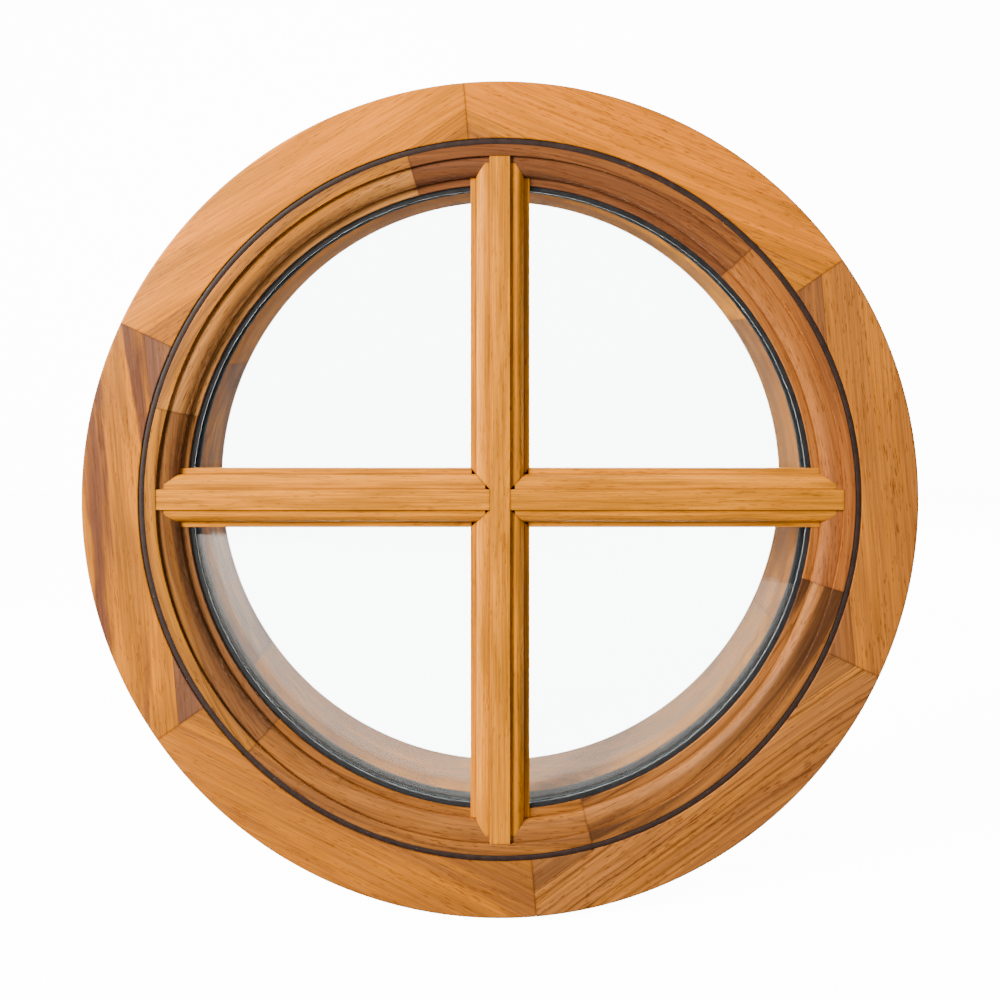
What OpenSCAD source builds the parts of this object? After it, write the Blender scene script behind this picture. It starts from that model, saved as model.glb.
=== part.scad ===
// Round fixed window: a glued hardwood frame, a moulded glazing ring with a cross of
// glazing bars, and a sealed double glass unit held between the ring and the frame's stop.
//
// Every piece is drawn on the "bench": the window lies on its back, its axis is Z, and
// z = 0 is the middle of the frame's depth. stand() then turns it upright, so that the
// front face looks along -Y and +Z is up. All sections are drawn as [radius, height],
// with heights measured down from the front face, and lowered by half the frame's depth.

/* [Frame] */
// Outside diameter of the frame
frame_d = 600; // [480:10:900]
// Depth of the frame, from its front face to its back
frame_depth = 100; // [70:5:160]
// Width of the flat front face, from the rim to the rebate
face_w = 41; // [34:1:60]
// Width of each segment's outer board, at the middle of the segment
outer_board_w = 57; // [50:1:70]
// Where the first joint between two frame segments lies, in degrees from the right
frame_joint_at = 35; // [20:1:40]
// Size of the chamfer on the frame's long corners
arris = 1.5; // [0.5:0.1:3]
// How far the stop behind the glass stands in past the ring's edge
stop_lead = 0.8; // [0:0.1:3]

/* [Glazing ring] */
// Gap between the frame and the ring, filled with brown bedding
seal_gap = 4.3; // [3:0.1:8]
// Width of the ring's flat face, and of its leg beside the glass
ring_face_w = 8.3; // [7.5:0.1:14]
// Width of the ledge beside the flat
ring_ledge_w = 4.4; // [2:0.1:8]
// Width of the rounded moulding
ring_round_w = 8.9; // [5:0.1:14]
// Width of the fillet next to the glass
ring_fillet_w = 5.8; // [3:0.1:10]
// Thickness of the ring where it covers the glass
ring_cover_t = 13; // [12.5:0.1:20]
// Where the first joint between two ring segments lies, in degrees from the right
ring_joint_at = 45; // [40:1:50]

/* [Moulding heights] */
// Drop from the flat face to the ledge, on the ring and on the bars
ledge_drop = 2.6; // [1:0.1:3]
// Height of the rounded moulding, on the ring and on the bars
round_drop = 6.9; // [4:0.1:7.5]
// Drop from the rounded moulding to the ring's fillet
fillet_drop = 1.5; // [0.8:0.1:1.5]
// Drop from the rounded moulding to a bar's fillet
bar_fillet_drop = 0.7; // [0.3:0.1:1.2]

/* [Glazing bars] */
// Width of a bar's flat face
bar_flat_w = 14.6; // [12:0.1:24]
// Width of the ledge on each side of the flat
bar_ledge_w = 3.3; // [1.5:0.1:6]
// Width of the rounded moulding on each side
bar_round_w = 6.6; // [4:0.1:10]
// Width of the fillet on each side
bar_fillet_w = 4.2; // [2:0.1:8]
// Thickness of the bedding between a bar and the glass
bar_bed_t = 1; // [0.5:0.1:1.5]

/* [Glass unit] */
// Thickness of one pane
pane_t = 4; // [3:1:8]
// Width of the sealed space between the panes
cavity_w = 12; // [8:1:20]
// Clearance between the glass edge and the ring's leg
glass_gap = 4.4; // [3:0.1:7]
// Width of the sealant outside the spacer
edge_seal_w = 6.5; // [4:0.5:7.5]
// Height of the spacer bar, measured along the radius
spacer_h = 7; // [6:0.5:8]
// Wall of the hollow spacer bar
spacer_wall = 0.6; // [0.4:0.1:1]
// Thickness of the glazing tape in front of the glass
front_tape_t = 2; // [1.6:0.1:4]
// Thickness of the glazing tape behind the glass
rear_tape_t = 3; // [2:0.1:5]
// How far the tapes are squeezed out past the wood
tape_lip = 0.9; // [0:0.1:2]

/* [Joinery] */
// Diameter of the dowels across the frame's joints
frame_dowel_d = 14; // [8:1:16]
// Length of the dowels across the frame's joints
frame_dowel_len = 60; // [40:2:64]
// Diameter of the dowels in the ring and the bars
small_dowel_d = 6; // [4:0.5:6]
// Length of the dowels across the ring's joints
ring_dowel_len = 30; // [20:2:36]
// Depth that a dowel goes into the end of a bar
bar_dowel_hold = 14; // [10:1:24]
// Shank diameter of the screws that hold the ring
screw_d = 5; // [4:0.5:6]
// Depth that a screw bites into the ring's leg
screw_bite = 6.6; // [5:0.1:7]

/* [Fits] */
// Clearance around soft seals and tapes
seal_fit = 0.15; // [0.05:0.05:0.3]
// Clearance between a bar's shaped end and the moulding under it
cope_fit = 0.15; // [0.05:0.05:0.3]
// Radial clearance around dowels and screws
dowel_fit = 0.1; // [0.05:0.05:0.2]

/* [Hidden] */
$fn = 96;
eps = 1;
segments = 6;
segment_arc = 360 / segments;

// Radii, from the rim inwards
rim_r = frame_d / 2;
rebate_r = rim_r - face_w;
ring_r = rebate_r - seal_gap;
leg_r = ring_r - ring_face_w;
ledge_r = leg_r - ring_ledge_w;
round_r = ledge_r - ring_round_w;
sight_r = round_r - ring_fillet_w;
stop_r = sight_r - stop_lead;
glass_r = leg_r - glass_gap;
spacer_r = glass_r - edge_seal_w;
front_tape_in_r = sight_r - tape_lip;
rear_tape_in_r = stop_r - tape_lip;
tape_inset = 2;
tape_out_r = glass_r - tape_inset;
butyl_t = 0.3;

// Depths below the front face
bar_t = ring_cover_t + front_tape_t - bar_bed_t;
glass_z = ring_cover_t + front_tape_t;
unit_t = 2 * pane_t + cavity_w;
rear_tape_z = glass_z + unit_t;
rebate_depth = rear_tape_z + rear_tape_t;
stop_depth = frame_depth - rebate_depth;

// Glazing bars, measured from a bar's middle line
bar_flat = bar_flat_w / 2;
bar_half = bar_flat + bar_ledge_w + bar_round_w + bar_fillet_w;
bar_ends = [0, 90, 180, 270];

// Joinery
glue_line = rim_r - outer_board_w;
frame_dowel_r = stop_r + frame_dowel_d * 2;
frame_dowel_shares = [0.27, 0.73];
frame_dowel_zs = [for (share = frame_dowel_shares) rebate_depth + stop_depth * share];
small_dowel_share = 0.58;
small_dowel_z = ring_cover_t * small_dowel_share;
ring_dowel_r = leg_r + small_dowel_d / 3;
bar_dowel_cover = 5;
bar_dowel_out_r = ring_r - bar_dowel_cover;
bar_dowel_in_r = sight_r - bar_dowel_hold;
dowel_end_gap = 0.5;
screw_z = glass_z + unit_t / 2;
screw_turn = 12;
screw_head_d = screw_d * 1.9;
screw_head_h = screw_d * 0.6;
screw_sink = 1.5;
screw_tip_r = ring_r - screw_bite;
screw_top_r = rim_r - screw_sink;
screw_tip_len = 3;

// Plastic blocks under and around the glass: middle angle of each
block_turns = [250, 290, 30, 150];
block_arc = 10;

frame_tones = ["#D39A4C", "#DDA050", "#C68E4A", "#BF8447", "#B9783C", "#C98640"];
horn_tones = ["#C88C42", "#CF9348", "#B9803F", "#B67C40", "#AE7038", "#BE7C3A"];
ring_tones = ["#B06A32", "#A8662F", "#9C5C2B", "#A7632E", "#BA7236", "#B87238"];
bar_tone = "#DF9F4E";

// ---- Helpers -------------------------------------------------------------------

// Turns the window from the bench to upright, and centres its depth on the origin.
module stand() {
    rotate([90, 0, 0]) translate([0, 0, frame_depth / 2]) children();
}

// A ring, or a part of one, with the given section.
module swept(section, from = 0, arc = 360) {
    rotate([0, 0, from]) rotate_extrude(angle = arc, $fn = 180) polygon(section);
}

// A flat ring between two radii, from one depth down to another.
module flat_ring(r_in, r_out, top, bottom, from = 0, arc = 360) {
    swept([[r_in, -bottom], [r_out, -bottom], [r_out, -top], [r_in, -top]], from, arc);
}

// Round hole or pin along the radius at one angle, from radius a to radius b.
module radial_rod(turn, a, b, depth, d) {
    rotate([0, 0, turn]) translate([a, 0, -depth]) rotate([0, 90, 0])
        cylinder(h = b - a, d = d, $fn = 48);
}

// Round hole or pin square across a joint that lies on a radius.
module cross_rod(turn, r, depth, len, d) {
    rotate([0, 0, turn]) translate([r, 0, -depth]) rotate([90, 0, 0])
        cylinder(h = len, d = d, center = true, $fn = 48);
}

// Quarter of an ellipse, from the ledge at x, y round and down to the fillet.
// It starts level and ends upright; dir is -1 towards smaller x and +1 towards larger.
function ovolo(x, y, w, h, dir, n = 8) =
    [for (i = [0:n]) [x + dir * w * sin(90 * i / n), y - h * (1 - cos(90 * i / n))]];

// Moulded top edge from the flat's corner at x down to the fillet's end. The fillet
// lies that drop below the foot of the rounded moulding.
function moulding(x, ledge, rounded, fillet, drop, dir) = concat(
    [[x, 0], [x, -ledge_drop]],
    ovolo(x + dir * ledge, -ledge_drop, rounded, round_drop, dir),
    [
        [x + dir * (ledge + rounded), -(ledge_drop + round_drop + drop)],
        [x + dir * (ledge + rounded + fillet), -(ledge_drop + round_drop + drop)]
    ]
);

// ---- Frame ---------------------------------------------------------------------

// Section of the whole frame: rim, flat face, rebate for the glazing ring, and stop.
function frame_section() = [
    [stop_r, -(frame_depth - arris)],
    [stop_r + arris, -frame_depth],
    [rim_r - arris, -frame_depth],
    [rim_r, -(frame_depth - arris)],
    [rim_r, -arris],
    [rim_r - arris, 0],
    [rebate_r + arris / 2, 0],
    [rebate_r, -arris / 2],
    [rebate_r, -rebate_depth],
    [stop_r + arris / 2, -rebate_depth],
    [stop_r, -(rebate_depth + arris / 2)]
];

// Angle of the middle of segment i, and of the joint at its start.
function frame_start(i) = frame_joint_at + segment_arc * (i - 1);
function frame_middle(i) = frame_start(i) + segment_arc / 2;

// One sixth of the frame, still whole.
module frame_sixth(i) {
    swept(frame_section(), frame_start(i), segment_arc);
}

// The space outside the straight glue line of segment i.
module outside_glue_line(i) {
    rotate([0, 0, frame_middle(i)])
        translate([glue_line, -rim_r, -frame_depth - eps])
            cube([rim_r, 2 * rim_r, frame_depth + 2 * eps]);
}

// Holes for the screws through segment i, with their countersinks.
module frame_screw_holes(i) {
    for (side = [-1, 1]) {
        turn = frame_middle(i) + side * screw_turn;
        radial_rod(turn, rebate_r - eps, rim_r + eps, screw_z, screw_d + 2 * dowel_fit);
        rotate([0, 0, turn])
            translate([screw_top_r - screw_head_h, 0, -screw_z])
                rotate([0, 90, 0]) {
                    cylinder(
                        h = screw_head_h,
                        d1 = screw_d + 2 * dowel_fit,
                        d2 = screw_head_d + 2 * dowel_fit,
                        $fn = 48
                    );
                    translate([0, 0, screw_head_h])
                        cylinder(h = screw_sink + eps, d = screw_head_d + 2 * dowel_fit, $fn = 48);
                }
    }
}

// Holes for the dowels at both joints of segment i.
module frame_dowel_holes(i) {
    for (turn = [frame_start(i), frame_start(i + 1)], depth = frame_dowel_zs)
        cross_rod(turn, frame_dowel_r, depth, frame_dowel_len, frame_dowel_d + 2 * dowel_fit);
}

module frame_outer_board(i) {
    color(frame_tones[i - 1]) stand() difference() {
        intersection() {
            frame_sixth(i);
            outside_glue_line(i);
        }
        frame_screw_holes(i);
    }
}

module frame_inner_board(i) {
    color(horn_tones[i - 1]) stand() difference() {
        frame_sixth(i);
        outside_glue_line(i);
        frame_dowel_holes(i);
    }
}

module frame_dowels() {
    color("#C9A26B") stand()
        for (i = [1:segments], depth = frame_dowel_zs)
            cross_rod(frame_start(i), frame_dowel_r, depth,
                frame_dowel_len - 2 * dowel_end_gap, frame_dowel_d);
}

// ---- Glazing ring --------------------------------------------------------------

// Section of the ring: moulded cover over the glass and a leg beside it.
function ring_section() = concat(
    [
        [leg_r, -ring_cover_t],
        [leg_r, -rebate_depth],
        [ring_r, -rebate_depth],
        [ring_r, 0]
    ],
    moulding(leg_r, ring_ledge_w, ring_round_w, ring_fillet_w, fillet_drop, -1),
    [[sight_r, -ring_cover_t]]
);

// What a bar's end must leave free for the ring and the front tape.
function cope_section() = concat(
    [
        [front_tape_in_r - cope_fit, -rebate_depth],
        [rim_r, -rebate_depth],
        [rim_r, eps],
        [leg_r - cope_fit, eps]
    ],
    [
        for (p = moulding(leg_r, ring_ledge_w, ring_round_w, ring_fillet_w, fillet_drop, -1))
            [p[0] - cope_fit, p[1] + cope_fit]
    ],
    [
        [sight_r - cope_fit, -ring_cover_t + cope_fit],
        [front_tape_in_r - cope_fit, -ring_cover_t + cope_fit]
    ]
);

function ring_start(i) = ring_joint_at + segment_arc * (i - 1);

// Holes for the bar dowels, wherever a bar meets the ring.
module bar_dowel_holes() {
    for (turn = bar_ends)
        radial_rod(turn, bar_dowel_in_r - dowel_end_gap, bar_dowel_out_r + dowel_end_gap,
            small_dowel_z, small_dowel_d + 2 * dowel_fit);
}

module ring_segment(i) {
    color(ring_tones[i - 1]) stand() difference() {
        swept(ring_section(), ring_start(i), segment_arc);
        for (turn = [ring_start(i), ring_start(i + 1)])
            cross_rod(turn, ring_dowel_r, small_dowel_z, ring_dowel_len,
                small_dowel_d + 2 * dowel_fit);
        for (j = [1:segments], side = [-1, 1])
            radial_rod(frame_middle(j) + side * screw_turn,
                screw_tip_r - dowel_end_gap, ring_r + eps, screw_z, screw_d + 2 * dowel_fit);
        bar_dowel_holes();
    }
}

module ring_dowels() {
    color("#C9A26B") stand()
        for (i = [1:segments])
            cross_rod(ring_start(i), ring_dowel_r, small_dowel_z,
                ring_dowel_len - 2 * dowel_end_gap, small_dowel_d);
}

// One countersunk wood screw, its head outwards along +X.
module screw() {
    shank_r = screw_d / 2;
    recess_w = screw_d * 0.2;
    recess_depth = screw_head_h * 0.7;
    difference() {
        rotate([0, 90, 0]) rotate_extrude($fn = 48) polygon([
            [0, screw_tip_r],
            [shank_r, screw_tip_r + screw_tip_len],
            [shank_r, screw_top_r - screw_head_h],
            [screw_head_d / 2, screw_top_r],
            [0, screw_top_r]
        ]);
        for (flat = [[recess_w, screw_d], [screw_d, recess_w]])
            translate([screw_top_r - recess_depth, -flat[0] / 2, -flat[1] / 2])
                cube([screw_head_h, flat[0], flat[1]]);
    }
}

module ring_screws() {
    color("#C9B36A") stand()
        for (i = [1:segments], side = [-1, 1])
            rotate([0, 0, frame_middle(i) + side * screw_turn])
                translate([0, 0, -screw_z]) screw();
}

// Rubbery bedding between ring and frame, with a low crown at the front.
module perimeter_bedding() {
    inner = ring_r + seal_fit;
    outer = rebate_r - seal_fit;
    middle = (inner + outer) / 2;
    half = (outer - inner) / 2;
    crown = 0.8;
    sunk = 0.4;
    color("#4A3A36") stand() difference() {
        swept(concat(
            [[inner, -(rebate_depth - seal_fit)], [outer, -(rebate_depth - seal_fit)]],
            [
                for (a = [0:22.5:180])
                    [middle + half * cos(a), -(sunk + crown) + crown * sin(a)]
            ]
        ));
        for (i = [1:segments], side = [-1, 1])
            radial_rod(frame_middle(i) + side * screw_turn, ring_r - eps, rebate_r + eps,
                screw_z, screw_d + 2 * dowel_fit);
    }
}

// ---- Glazing bars --------------------------------------------------------------

// Outline of a bar's right-hand half, from its flat's edge down to the glass side.
function bar_side() = concat(
    moulding(bar_flat, bar_ledge_w, bar_round_w, bar_fillet_w, bar_fillet_drop, 1),
    [[bar_half, -bar_t]]
);

// Section across a bar: the right-hand half, then its mirror image in reverse.
function bar_section() = concat(
    bar_side(),
    [
        for (i = [len(bar_side()) - 1:-1:0])
            [-bar_side()[i][0], bar_side()[i][1]]
    ]
);

// A bar along Y, with both ends shaped to sit on the ring's moulding.
module coped_bar() {
    difference() {
        rotate([90, 0, 0])
            linear_extrude(height = 2 * ring_r, center = true) polygon(bar_section());
        swept(cope_section());
    }
}

// The space that the right-hand bar takes at the crossing: its flat butts against the
// upright's flat, and its mouldings are mitred at 45 degrees.
module right_of_mitre() {
    far = bar_half + eps;
    translate([0, 0, -bar_t - eps]) linear_extrude(height = bar_t + 2 * eps) polygon([
        [bar_flat, -bar_flat],
        [bar_flat, bar_flat],
        [far, far],
        [rim_r, far],
        [rim_r, -far],
        [far, -far]
    ]);
}

module cross_dowel_hole() {
    len = 2 * (bar_flat + bar_dowel_hold);
    translate([-len / 2, 0, 0])
        radial_rod(0, 0, len, small_dowel_z, small_dowel_d + 2 * dowel_fit);
}

module bar_vertical() {
    color(bar_tone) stand() difference() {
        coped_bar();
        right_of_mitre();
        mirror([1, 0, 0]) right_of_mitre();
        bar_dowel_holes();
        cross_dowel_hole();
    }
}

module side_bar() {
    difference() {
        intersection() {
            rotate([0, 0, 90]) coped_bar();
            right_of_mitre();
        }
        bar_dowel_holes();
        cross_dowel_hole();
    }
}

module bar_left() {
    color("#D9974A") stand() mirror([1, 0, 0]) side_bar();
}

module bar_right() {
    color("#DC9B4C") stand() side_bar();
}

module bar_end_dowels() {
    color("#C9A26B") stand()
        for (turn = bar_ends)
            radial_rod(turn, bar_dowel_in_r, bar_dowel_out_r, small_dowel_z, small_dowel_d);
}

module cross_dowel() {
    len = 2 * (bar_flat + bar_dowel_hold - dowel_end_gap);
    color("#C9A26B") stand()
        translate([-len / 2, 0, 0]) radial_rod(0, 0, len, small_dowel_z, small_dowel_d);
}

// Dark bedding strips between the bars and the front pane.
module bar_bedding() {
    inset = 0.8;
    width = 2 * (bar_half - inset);
    length = 2 * front_tape_in_r;
    color("#2A2622") stand() difference() {
        translate([0, 0, -glass_z]) linear_extrude(height = bar_bed_t) {
            square([width, length], center = true);
            square([length, width], center = true);
        }
        flat_ring(front_tape_in_r - seal_fit, rim_r, 0, rebate_depth);
    }
}

// ---- Glass unit ----------------------------------------------------------------

module front_pane() {
    color("#DCE8EA", 0.35) stand()
        translate([0, 0, -(glass_z + pane_t)]) cylinder(h = pane_t, r = glass_r, $fn = 180);
}

module rear_pane() {
    color("#DCE8EA", 0.35) stand()
        translate([0, 0, -rear_tape_z]) cylinder(h = pane_t, r = glass_r, $fn = 180);
}

// Hollow bar that keeps the panes apart, with a breathing slit towards the air space.
module spacer_bar() {
    slit = 1;
    top = glass_z + pane_t + butyl_t;
    bottom = glass_z + pane_t + cavity_w - butyl_t;
    inner = spacer_r - spacer_h;
    middle = (top + bottom) / 2;
    color("#6E7C82") stand() difference() {
        flat_ring(inner, spacer_r, top, bottom);
        flat_ring(inner + spacer_wall, spacer_r - spacer_wall, top + spacer_wall,
            bottom - spacer_wall);
        flat_ring(inner - eps, inner + 2 * spacer_wall, middle - slit / 2, middle + slit / 2);
    }
}

// Drying beads that fill the spacer bar, as one mass.
module desiccant() {
    room = spacer_wall + butyl_t + seal_fit;
    top = glass_z + pane_t + room;
    bottom = glass_z + pane_t + cavity_w - room;
    color("#E4DCCB") stand()
        flat_ring(spacer_r - spacer_h + spacer_wall + seal_fit,
            spacer_r - spacer_wall - seal_fit, top, bottom);
}

module edge_sealant() {
    color("#2A2A2A") stand()
        flat_ring(spacer_r, glass_r, glass_z + pane_t, glass_z + pane_t + cavity_w);
}

module front_glazing_tape() {
    color("#2A2A2A") stand() flat_ring(front_tape_in_r, tape_out_r, ring_cover_t, glass_z);
}

module rear_glazing_tape() {
    color("#2A2A2A") stand() flat_ring(rear_tape_in_r, tape_out_r, rear_tape_z, rebate_depth);
}

// Blocks that carry the glass at the bottom and centre it higher up.
module setting_blocks() {
    color("#3C5A73") stand()
        for (turn = block_turns)
            flat_ring(glass_r + seal_fit, leg_r - seal_fit, glass_z, rear_tape_z,
                turn - block_arc / 2, block_arc);
}

// ---- Nodes ---------------------------------------------------------------------

for (i = [1:segments]) {
    frame_outer_board(i);
    frame_inner_board(i);
    ring_segment(i);
}
frame_dowels();
ring_dowels();
ring_screws();
perimeter_bedding();
bar_vertical();
bar_left();
bar_right();
bar_end_dowels();
cross_dowel();
bar_bedding();
front_pane();
rear_pane();
spacer_bar();
desiccant();
edge_sealant();
front_glazing_tape();
rear_glazing_tape();
setting_blocks();
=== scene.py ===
"""Round fixed window: a glued hardwood frame, a moulded glazing ring, a cross of glazing
bars and a sealed double glass unit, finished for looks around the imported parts.

Lengths are in millimetres until a mesh is made. Depths are measured from the front face
towards the back, and angles in degrees, anticlockwise from the right."""

import math

import bmesh
import bpy
import numpy as np
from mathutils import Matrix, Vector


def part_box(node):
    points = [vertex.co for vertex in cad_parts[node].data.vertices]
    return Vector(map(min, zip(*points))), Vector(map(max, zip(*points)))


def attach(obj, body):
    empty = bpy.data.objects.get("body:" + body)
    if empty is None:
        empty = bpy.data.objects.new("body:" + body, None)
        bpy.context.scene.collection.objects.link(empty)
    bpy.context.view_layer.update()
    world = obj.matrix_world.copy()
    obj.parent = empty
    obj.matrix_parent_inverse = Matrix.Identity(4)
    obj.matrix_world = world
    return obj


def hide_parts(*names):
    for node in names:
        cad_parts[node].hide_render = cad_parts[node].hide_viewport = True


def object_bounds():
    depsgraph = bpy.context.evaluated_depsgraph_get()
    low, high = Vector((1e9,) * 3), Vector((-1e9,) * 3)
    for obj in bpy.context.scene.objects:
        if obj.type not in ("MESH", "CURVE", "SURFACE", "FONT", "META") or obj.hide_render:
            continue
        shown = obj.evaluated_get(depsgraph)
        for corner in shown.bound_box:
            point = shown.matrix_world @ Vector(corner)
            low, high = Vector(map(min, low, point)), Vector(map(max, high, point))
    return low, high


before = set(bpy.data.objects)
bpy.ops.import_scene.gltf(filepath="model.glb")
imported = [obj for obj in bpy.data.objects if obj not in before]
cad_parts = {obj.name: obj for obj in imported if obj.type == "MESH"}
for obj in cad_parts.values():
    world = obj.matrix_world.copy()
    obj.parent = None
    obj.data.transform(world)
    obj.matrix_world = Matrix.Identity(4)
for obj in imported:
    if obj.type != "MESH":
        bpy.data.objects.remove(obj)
cad_low, cad_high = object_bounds()

MM = 0.001


def low(node):
    """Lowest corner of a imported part, in millimetres."""
    return np.array(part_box(node)[0]) / MM


def high(node):
    """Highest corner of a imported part, in millimetres."""
    return np.array(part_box(node)[1]) / MM


# ---- Sizes, from the rim inwards ---------------------------------------------------

RIM = cad_high.x / MM
FRONT = cad_low.y / MM
DEPTH = (cad_high.y - cad_low.y) / MM
FACE_W = 41.0
SEAL_GAP = 4.3
RING_FACE_W = 8.3
RING_LEDGE_W = 4.4
RING_ROUND_W = 8.9
RING_FILLET_W = 5.8
STOP_LEAD = 0.8
OUTER_BOARD_W = 57.0
REBATE = RIM - FACE_W
RING = REBATE - SEAL_GAP
LEG = RING - RING_FACE_W
LEDGE = LEG - RING_LEDGE_W
ROUND = LEDGE - RING_ROUND_W
SIGHT = ROUND - RING_FILLET_W
STOP = SIGHT - STOP_LEAD
GLUE_LINE = RIM - OUTER_BOARD_W
ARRIS = 1.5
STEPS_ROUND = 720

# Depths below the front face
LEDGE_DROP = 2.6
ROUND_DROP = 6.9
FILLET_DROP = 1.5
ROUND_FOOT = LEDGE_DROP + ROUND_DROP
FILLET = ROUND_FOOT + FILLET_DROP
COVER = low("front_glazing_tape")[1] - FRONT
REBATE_FLOOR = high("rear_glazing_tape")[1] - FRONT

# Glazing bars: distances from a bar's middle line, and depths
BAR_FILLET_W = 4.2
BAR_ROUND_W = 6.6
BAR_LEDGE_W = 3.3
BAR_FILLET_DROP = 0.7
BAR_SIDE = high("bar_vertical")[0]
BAR_ROUND = BAR_SIDE - BAR_FILLET_W
BAR_LEDGE = BAR_ROUND - BAR_ROUND_W
BAR_FLAT = BAR_LEDGE - BAR_LEDGE_W
BAR_FILLET = ROUND_FOOT + BAR_FILLET_DROP
BAR_FOOT = high("bar_vertical")[1] - FRONT

# Joints
SEGMENTS = 6
SIXTH = 360.0 / SEGMENTS
FRAME_JOINT = 35.0
RING_JOINT = 45.0
HAIRLINE = 0.08
COPE_GAP = 0.15

# Screws through the rim
SCREW_DEPTH = (low("ring_screws")[1] + high("ring_screws")[1]) / 2 - FRONT
SCREW_TURN = 12.0
SCREW_TOP = RIM - 1.5
SCREW_TIP = RING - 6.6
SHANK_R = 2.5
HEAD_R = 4.75
HEAD_H = 3.0
CORE_R = 1.75
THREAD_H = 0.75
THREAD_PITCH = 2.4
THREAD_END = RIM - 18.0
HOLE_FIT = 0.1
RECESS_D = 1.6

# Glass unit
FRONT_LIP = 3.6
REAR_LIP = 0.9
SPACER_H = 7.0
SPACER_WALL = 0.6


# ---- Surfaces ----------------------------------------------------------------------

# How far a corner's darkening reaches, grime at joints and painted shade in quirks, and the
# most that darkening and easing take of a side
GRIME_AND_SHADE_REACH = 1.1
GRIME_AND_SHADE_SHARE = 0.48
EASE_SHARE = 0.45

# Points closer than this become one, in metres
MERGE = 2e-7


def around(turn, radius, depth):
    """Points at an angle round the window's axis, a radius from it and a depth."""
    a = np.radians(turn)
    x, y, z = np.broadcast_arrays(radius * np.cos(a), FRONT + depth, radius * np.sin(a))
    return np.stack([x, y, z], -1)


def outline(corners, steps=5):
    """Closed section through corners (x, y, ease, darkening), as points and their darkening.

    An eased corner becomes a quadratic curve that leaves the sides `ease` before and
    after it, with the corner as its middle control point. A darkened corner gets a
    clean point a little way along each of its sides. At glue joints the darkening is
    grime and finish; at quirks and inner corners it is painted shade."""
    shape = np.broadcast_shapes(*(np.shape(v) for c in corners for v in c[:2]))
    at = [np.stack([np.broadcast_to(v, shape) for v in c[:2]], -1) for c in corners]
    points, grime_and_shade_values = [], []
    for k, (_, _, ease, grime_and_shade) in enumerate(corners):
        sides = []
        for other in (at[k - 1], at[(k + 1) % len(at)]):
            side = other - at[k]
            length = np.maximum(np.linalg.norm(side, axis=-1, keepdims=True), 1e-9)
            sides.append((side / length, length))
        (back, back_len), (ahead, ahead_len) = sides
        if grime_and_shade:
            points.append(at[k] + back * np.minimum(GRIME_AND_SHADE_REACH, GRIME_AND_SHADE_SHARE * back_len))
            grime_and_shade_values.append(0.0)
        start = at[k] + back * np.minimum(ease, EASE_SHARE * back_len)
        end = at[k] + ahead * np.minimum(ease, EASE_SHARE * ahead_len)
        for t in np.linspace(0, 1, steps) if np.any(ease) else (0.5,):
            curve = (1 - t) ** 2 * start + 2 * t * (1 - t) * at[k] + t**2 * end
            points.append(curve)
            grime_and_shade_values.append(grime_and_shade)
        if grime_and_shade:
            points.append(at[k] + ahead * np.minimum(GRIME_AND_SHADE_REACH, GRIME_AND_SHADE_SHARE * ahead_len))
            grime_and_shade_values.append(0.0)
    return np.stack(points, -2), np.array(grime_and_shade_values)


def ovolo(start, foot, width, direction, steps=10):
    """Quarter of an ellipse from level at `start`, over and down to upright at `foot`."""
    t = np.linspace(0, math.pi / 2, steps)[1:]
    x = start + direction * width * np.sin(t)
    depth = LEDGE_DROP + (foot - LEDGE_DROP) * (1 - np.cos(t))
    return [(a, b, 0, 0) for a, b in zip(x, depth)]


def shell(points, grime_and_shade=0.0, closed=False, ladder=False):
    """One closed surface from a grid of points: columns go round the section, and rows
    along the path. An open path gets a face at each end: one flat face, or, as a ladder,
    faces between the section's first and last points, its second and last but one."""
    rows, cols = points.shape[:2]
    r, c = np.meshgrid(np.arange(rows if closed else rows - 1), np.arange(cols), indexing="ij")
    r2, c2 = (r + 1) % rows, (c + 1) % cols
    quads = np.stack([r * cols + c, r * cols + c2, r2 * cols + c2, r2 * cols + c], -1)
    faces = quads.reshape(-1, 4).tolist()
    if not closed and ladder:
        k = np.arange(cols // 2 - 1)
        rungs = np.stack([k, k + 1, cols - 2 - k, cols - 1 - k], -1)
        faces += rungs[:, ::-1].tolist() + (rungs + (rows - 1) * cols).tolist()
    elif not closed:
        faces += [list(range(cols))[::-1], list(range((rows - 1) * cols, rows * cols))]
    points = points.reshape(-1, 3)
    from_middle = points - points.mean(0)
    corner = [from_middle[[f[k] for f in faces]] for k in range(4)]
    volume = sum(
        np.einsum("ij,ij->", corner[0], np.cross(corner[k], corner[k + 1])) for k in (1, 2)
    )
    if volume < 0:
        faces = [f[::-1] for f in faces]
    return points, faces, np.broadcast_to(grime_and_shade, (rows, cols)).reshape(-1)


def piece(name, shells, nodes, material, sharp=35):
    """Mesh object from closed surfaces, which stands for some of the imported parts."""
    points, faces, grime_and_shade_values = [], [], []
    for p, f, s in shells:
        first = sum(len(q) for q in points)
        faces += [[k + first for k in face] for face in f]
        points.append(p)
        grime_and_shade_values.append(s)
    mesh = bpy.data.meshes.new(name)
    mesh.from_pydata((np.concatenate(points) * MM).tolist(), [], faces)
    grime_and_shade = mesh.attributes.new("grime_and_shade", "FLOAT", "POINT")
    grime_and_shade.data.foreach_set("value", np.concatenate(grime_and_shade_values).astype(np.float32))
    work = bmesh.new()
    work.from_mesh(mesh)
    bmesh.ops.remove_doubles(work, verts=work.verts, dist=MERGE)
    work.to_mesh(mesh)
    work.free()
    mesh.shade_smooth()
    mesh.set_sharp_from_angle(angle=math.radians(sharp))
    mesh.materials.append(material)
    made = bpy.data.objects.new(name, mesh)
    bpy.context.scene.collection.objects.link(made)
    if nodes:
        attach(made, "root")
        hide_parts(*nodes)
    return made


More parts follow.
